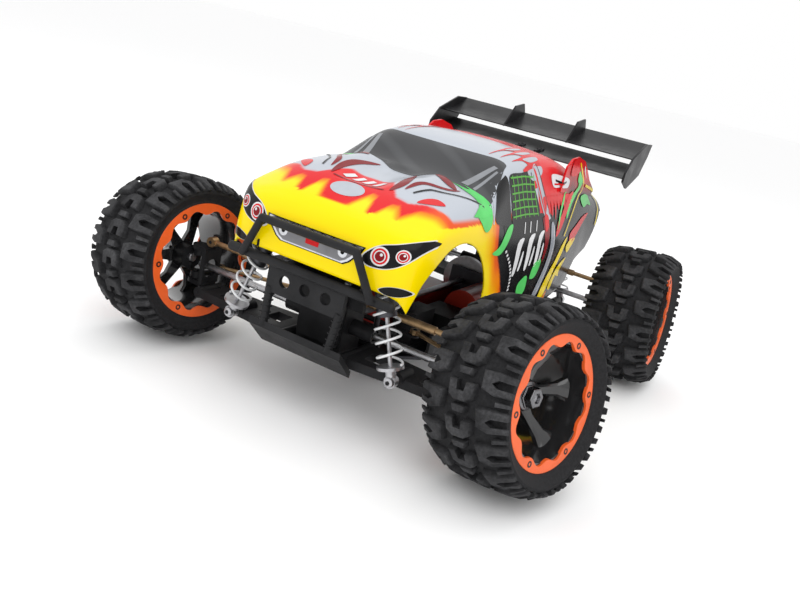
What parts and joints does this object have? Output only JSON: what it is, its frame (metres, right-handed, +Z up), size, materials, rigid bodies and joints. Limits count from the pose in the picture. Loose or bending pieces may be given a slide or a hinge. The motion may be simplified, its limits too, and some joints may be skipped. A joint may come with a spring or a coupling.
{
  "type": "radio-controlled truggy",
  "caption": "Radio-controlled off-road truggy with long-travel suspension, steered front wheels, a painted shell and a rear wing.",
  "frame": {"origin": "on the ground, midway between the axles on the centre line", "axes": "-Y is forward, +X is the vehicle's left side, +Z is up"},
  "size_m": [0.4577, 0.5055, 0.266],
  "materials": {
    "shell_paint": "gloss",
    "black_plastic": "matte",
    "tyre_rubber": "matte",
    "rim_black": "gloss",
    "steel": "satin",
    "chassis_metal": "satin",
    "shock_grey": "satin",
    "spring_white": "gloss",
    "wing_black": "satin",
    "battery_wrap": "satin",
    "electronics": "matte",
    "motor_can": "satin"
  },
  "bodies": {
    "chassis": {"chassis_plate": "chassis_metal", "side_guards": "black_plastic", "front_gearbox": "black_plastic", "rear_gearbox": "black_plastic", "front_shock_tower": "black_plastic", "rear_shock_tower": "black_plastic", "front_bumper": "black_plastic", "wing_mount": "black_plastic", "rear_wing": "wing_black", "steering_servo": "electronics", "drive_motor": "motor_can", "battery_pack": "battery_wrap", "speed_controller": "electronics", "motor_mount": "chassis_metal"},
    "shell": {"body_shell": "shell_paint"},
    "pinion": {"motor_pinion": "steel"},
    "drive": {"centre_drive": "steel"},
    "left_crank": {"left_bellcrank": "black_plastic"},
    "right_crank": {"right_bellcrank": "black_plastic"},
    "steering_link": {"drag_link": "black_plastic"},
    "left_rod": {"left_tie_rod": "steel"},
    "right_rod": {"right_tie_rod": "steel"},
    "front_left_arm": {"front_left_lower_arm": "black_plastic"},
    "front_left_link": {"front_left_upper_link": "steel"},
    "front_left_carrier": {"front_left_hub_carrier": "black_plastic"},
    "front_left_shaft": {"front_left_half_shaft": "steel"},
    "front_left_shock": {"front_left_shock_body": "shock_grey", "front_left_spring": "spring_white"},
    "front_left_rod": {"front_left_shock_rod": "steel"},
    "front_left_wheel": {"front_left_tyre": "tyre_rubber", "front_left_rim": "rim_black"},
    "left_knuckle": {"left_steering_knuckle": "black_plastic"},
    "front_right_arm": {"front_right_lower_arm": "black_plastic"},
    "front_right_link": {"front_right_upper_link": "steel"},
    "front_right_carrier": {"front_right_hub_carrier": "black_plastic"},
    "front_right_shaft": {"front_right_half_shaft": "steel"},
    "front_right_shock": {"front_right_shock_body": "shock_grey", "front_right_spring": "spring_white"},
    "front_right_rod": {"front_right_shock_rod": "steel"},
    "front_right_wheel": {"front_right_tyre": "tyre_rubber", "front_right_rim": "rim_black"},
    "right_knuckle": {"right_steering_knuckle": "black_plastic"},
    "rear_left_arm": {"rear_left_lower_arm": "black_plastic"},
    "rear_left_link": {"rear_left_upper_link": "steel"},
    "rear_left_carrier": {"rear_left_hub_carrier": "black_plastic"},
    "rear_left_shaft": {"rear_left_half_shaft": "steel"},
    "rear_left_shock": {"rear_left_shock_body": "shock_grey", "rear_left_spring": "spring_white"},
    "rear_left_rod": {"rear_left_shock_rod": "steel"},
    "rear_left_wheel": {"rear_left_tyre": "tyre_rubber", "rear_left_rim": "rim_black"},
    "rear_right_arm": {"rear_right_lower_arm": "black_plastic"},
    "rear_right_link": {"rear_right_upper_link": "steel"},
    "rear_right_carrier": {"rear_right_hub_carrier": "black_plastic"},
    "rear_right_shaft": {"rear_right_half_shaft": "steel"},
    "rear_right_shock": {"rear_right_shock_body": "shock_grey", "rear_right_spring": "spring_white"},
    "rear_right_rod": {"rear_right_shock_rod": "steel"},
    "rear_right_wheel": {"rear_right_tyre": "tyre_rubber", "rear_right_rim": "rim_black"}
  },
  "joints": [
    {"name": "shell_tip", "type": "hinge", "parent": "chassis", "child": "shell", "pos_m": [0, 0.19, 0.176], "axis": [-1, 0, 0], "range_deg": [0, 4]},
    {"name": "drive_spin", "type": "hinge", "parent": "chassis", "child": "drive", "pos_m": [0, 0, 0.07], "axis": [0, 1, 0], "continuous": true},
    {"name": "pinion_spin", "type": "hinge", "parent": "chassis", "child": "pinion", "pos_m": [0.0322, 0.095, 0.0586], "axis": [0, 1, 0], "continuous": true},
    {"name": "front_left_travel", "type": "hinge", "parent": "chassis", "child": "front_left_arm", "pos_m": [0.03, -0.177, 0.052], "axis": [0, -1, 0], "range_deg": [-10, 10], "stiffness_Nm_per_rad": 25, "springref_deg": -3.44},
    {"name": "front_left_carrier_pivot", "type": "hinge", "parent": "front_left_arm", "child": "front_left_carrier", "pos_m": [0.134, -0.177, 0.052], "axis": [0, -1, 0], "range_deg": [-10, 10]},
    {"name": "front_left_link_pivot", "type": "hinge", "parent": "chassis", "child": "front_left_link", "pos_m": [0.03, -0.177, 0.099], "axis": [0, -1, 0], "range_deg": [-10, 10]},
    {"name": "front_left_shaft_pivot", "type": "hinge", "parent": "chassis", "child": "front_left_shaft", "pos_m": [0.04, -0.177, 0.074], "axis": [0, -1, 0], "range_deg": [-10, 10]},
    {"name": "front_left_shock_pivot", "type": "hinge", "parent": "chassis", "child": "front_left_shock", "pos_m": [0.047, -0.206, 0.158], "axis": [0, -1, 0], "range_deg": [-2, 2]},
    {"name": "front_left_shock_stroke", "type": "slide", "parent": "front_left_shock", "child": "front_left_rod", "axis": [0.3196, 0, -0.9476], "range_m": [-0.0095, 0.0095], "deforming": ["front_left_spring"]},
    {"name": "left_steering", "type": "hinge", "parent": "front_left_carrier", "child": "left_knuckle", "pos_m": [0.1495, -0.177, 0.074], "axis": [0, 0, 1], "range_deg": [-8, 34]},
    {"name": "front_left_wheel_spin", "type": "hinge", "parent": "left_knuckle", "child": "front_left_wheel", "pos_m": [0.1739, -0.177, 0.0766], "axis": [0.9466, -0.2607, 0.1898], "continuous": true},
    {"name": "front_right_travel", "type": "hinge", "parent": "chassis", "child": "front_right_arm", "pos_m": [-0.03, -0.177, 0.052], "axis": [0, 1, 0], "range_deg": [-10, 10], "stiffness_Nm_per_rad": 25, "springref_deg": -3.44},
    {"name": "front_right_carrier_pivot", "type": "hinge", "parent": "front_right_arm", "child": "front_right_carrier", "pos_m": [-0.134, -0.177, 0.052], "axis": [0, 1, 0], "range_deg": [-10, 10]},
    {"name": "front_right_link_pivot", "type": "hinge", "parent": "chassis", "child": "front_right_link", "pos_m": [-0.03, -0.177, 0.099], "axis": [0, 1, 0], "range_deg": [-10, 10]},
    {"name": "front_right_shaft_pivot", "type": "hinge", "parent": "chassis", "child": "front_right_shaft", "pos_m": [-0.04, -0.177, 0.074], "axis": [0, 1, 0], "range_deg": [-10, 10]},
    {"name": "front_right_shock_pivot", "type": "hinge", "parent": "chassis", "child": "front_right_shock", "pos_m": [-0.047, -0.206, 0.158], "axis": [0, 1, 0], "range_deg": [-2, 2]},
    {"name": "front_right_shock_stroke", "type": "slide", "parent": "front_right_shock", "child": "front_right_rod", "axis": [-0.3196, 0, -0.9476], "range_m": [-0.0095, 0.0095], "deforming": ["front_right_spring"]},
    {"name": "right_steering", "type": "hinge", "parent": "front_right_carrier", "child": "right_knuckle", "pos_m": [-0.1495, -0.177, 0.074], "axis": [0, 0, 1], "range_deg": [-8, 34]},
    {"name": "front_right_wheel_spin", "type": "hinge", "parent": "right_knuckle", "child": "front_right_wheel", "pos_m": [-0.1739, -0.177, 0.07525], "axis": [-0.9804, 0.1658, -0.1068], "continuous": true},
    {"name": "rear_left_travel", "type": "hinge", "parent": "chassis", "child": "rear_left_arm", "pos_m": [0.03, 0.177, 0.052], "axis": [0, -1, 0], "range_deg": [-10, 10], "stiffness_Nm_per_rad": 25, "springref_deg": -3.44},
    {"name": "rear_left_carrier_pivot", "type": "hinge", "parent": "rear_left_arm", "child": "rear_left_carrier", "pos_m": [0.134, 0.177, 0.052], "axis": [0, -1, 0], "range_deg": [-10, 10]},
    {"name": "rear_left_link_pivot", "type": "hinge", "parent": "chassis", "child": "rear_left_link", "pos_m": [0.03, 0.177, 0.099], "axis": [0, -1, 0], "range_deg": [-10, 10]},
    {"name": "rear_left_shaft_pivot", "type": "hinge", "parent": "chassis", "child": "rear_left_shaft", "pos_m": [0.04, 0.177, 0.074], "axis": [0, -1, 0], "range_deg": [-10, 10]},
    {"name": "rear_left_shock_pivot", "type": "hinge", "parent": "chassis", "child": "rear_left_shock", "pos_m": [0.047, 0.206, 0.158], "axis": [0, -1, 0], "range_deg": [-2, 2]},
    {"name": "rear_left_shock_stroke", "type": "slide", "parent": "rear_left_shock", "child": "rear_left_rod", "axis": [0.3196, 0, -0.9476], "range_m": [-0.0095, 0.0095], "deforming": ["rear_left_spring"]},
    {"name": "rear_left_wheel_spin", "type": "hinge", "parent": "rear_left_carrier", "child": "rear_left_wheel", "pos_m": [0.17145, 0.177, 0.07515], "axis": [0.9955, 0, 0.0948], "continuous": true},
    {"name": "rear_right_travel", "type": "hinge", "parent": "chassis", "child": "rear_right_arm", "pos_m": [-0.03, 0.177, 0.052], "axis": [0, 1, 0], "range_deg": [-10, 10], "stiffness_Nm_per_rad": 25, "springref_deg": -3.44},
    {"name": "rear_right_carrier_pivot", "type": "hinge", "parent": "rear_right_arm", "child": "rear_right_carrier", "pos_m": [-0.134, 0.177, 0.052], "axis": [0, 1, 0], "range_deg": [-10, 10]},
    {"name": "rear_right_link_pivot", "type": "hinge", "parent": "chassis", "child": "rear_right_link", "pos_m": [-0.03, 0.177, 0.099], "axis": [0, 1, 0], "range_deg": [-10, 10]},
    {"name": "rear_right_shaft_pivot", "type": "hinge", "parent": "chassis", "child": "rear_right_shaft", "pos_m": [-0.04, 0.177, 0.074], "axis": [0, 1, 0], "range_deg": [-10, 10]},
    {"name": "rear_right_shock_pivot", "type": "hinge", "parent": "chassis", "child": "rear_right_shock", "pos_m": [-0.047, 0.206, 0.158], "axis": [0, 1, 0], "range_deg": [-2, 2]},
    {"name": "rear_right_shock_stroke", "type": "slide", "parent": "rear_right_shock", "child": "rear_right_rod", "axis": [-0.3196, 0, -0.9476], "range_m": [-0.0095, 0.0095], "deforming": ["rear_right_spring"]},
    {"name": "rear_right_wheel_spin", "type": "hinge", "parent": "rear_right_carrier", "child": "rear_right_wheel", "pos_m": [-0.17145, 0.177, 0.07515], "axis": [-0.9955, 0, 0.0948], "continuous": true},
    {"name": "left_bellcrank_pivot", "type": "hinge", "parent": "chassis", "child": "left_crank", "pos_m": [0.024, -0.14043, 0.06], "axis": [0, 0, 1], "range_deg": [-8, 34]},
    {"name": "right_bellcrank_pivot", "type": "hinge", "parent": "chassis", "child": "right_crank", "pos_m": [-0.024, -0.14043, 0.06], "axis": [0, 0, 1], "range_deg": [-8, 34]},
    {"name": "drag_link_pivot", "type": "hinge", "parent": "left_crank", "child": "steering_link", "pos_m": [0.02919, -0.117, 0.062], "axis": [0, 0, 1], "range_deg": [-34, 8]},
    {"name": "left_tie_rod_pivot", "type": "hinge", "parent": "steering_link", "child": "left_rod", "pos_m": [0.05069, -0.117, 0.068], "axis": [0, -1, 0], "range_deg": [-10, 10]},
    {"name": "right_tie_rod_pivot", "type": "hinge", "parent": "steering_link", "child": "right_rod", "pos_m": [-0.04031, -0.117, 0.068], "axis": [0, 1, 0], "range_deg": [-10, 10]}
  ],
  "couplings": [
    {"joint": "pinion_spin", "follows": "drive_spin", "ratio": -3.25},
    {"joint": "front_left_carrier_pivot", "follows": "front_left_travel", "ratio": -1},
    {"joint": "front_left_link_pivot", "follows": "front_left_travel", "ratio": 1},
    {"joint": "front_left_shaft_pivot", "follows": "front_left_travel", "ratio": 1},
    {"joint": "front_left_shock_pivot", "follows": "front_left_travel", "ratio": 0.11738},
    {"joint": "front_left_shock_stroke", "follows": "front_left_travel", "m_per_rad": -0.049983},
    {"joint": "front_right_carrier_pivot", "follows": "front_right_travel", "ratio": -1},
    {"joint": "front_right_link_pivot", "follows": "front_right_travel", "ratio": 1},
    {"joint": "front_right_shaft_pivot", "follows": "front_right_travel", "ratio": 1},
    {"joint": "front_right_shock_pivot", "follows": "front_right_travel", "ratio": 0.11738},
    {"joint": "front_right_shock_stroke", "follows": "front_right_travel", "m_per_rad": -0.049983},
    {"joint": "right_steering", "follows": "left_steering", "ratio": 1},
    {"joint": "rear_left_carrier_pivot", "follows": "rear_left_travel", "ratio": -1},
    {"joint": "rear_left_link_pivot", "follows": "rear_left_travel", "ratio": 1},
    {"joint": "rear_left_shaft_pivot", "follows": "rear_left_travel", "ratio": 1},
    {"joint": "rear_left_shock_pivot", "follows": "rear_left_travel", "ratio": 0.11738},
    {"joint": "rear_left_shock_stroke", "follows": "rear_left_travel", "m_per_rad": -0.049983},
    {"joint": "rear_right_carrier_pivot", "follows": "rear_right_travel", "ratio": -1},
    {"joint": "rear_right_link_pivot", "follows": "rear_right_travel", "ratio": 1},
    {"joint": "rear_right_shaft_pivot", "follows": "rear_right_travel", "ratio": 1},
    {"joint": "rear_right_shock_pivot", "follows": "rear_right_travel", "ratio": 0.11738},
    {"joint": "rear_right_shock_stroke", "follows": "rear_right_travel", "m_per_rad": -0.049983},
    {"joint": "left_bellcrank_pivot", "follows": "left_steering", "ratio": 1},
    {"joint": "right_bellcrank_pivot", "follows": "left_steering", "ratio": 1},
    {"joint": "drag_link_pivot", "follows": "left_steering", "ratio": -1},
    {"joint": "left_tie_rod_pivot", "follows": "front_left_travel", "ratio": 1},
    {"joint": "right_tie_rod_pivot", "follows": "front_right_travel", "ratio": 1}
  ]
}
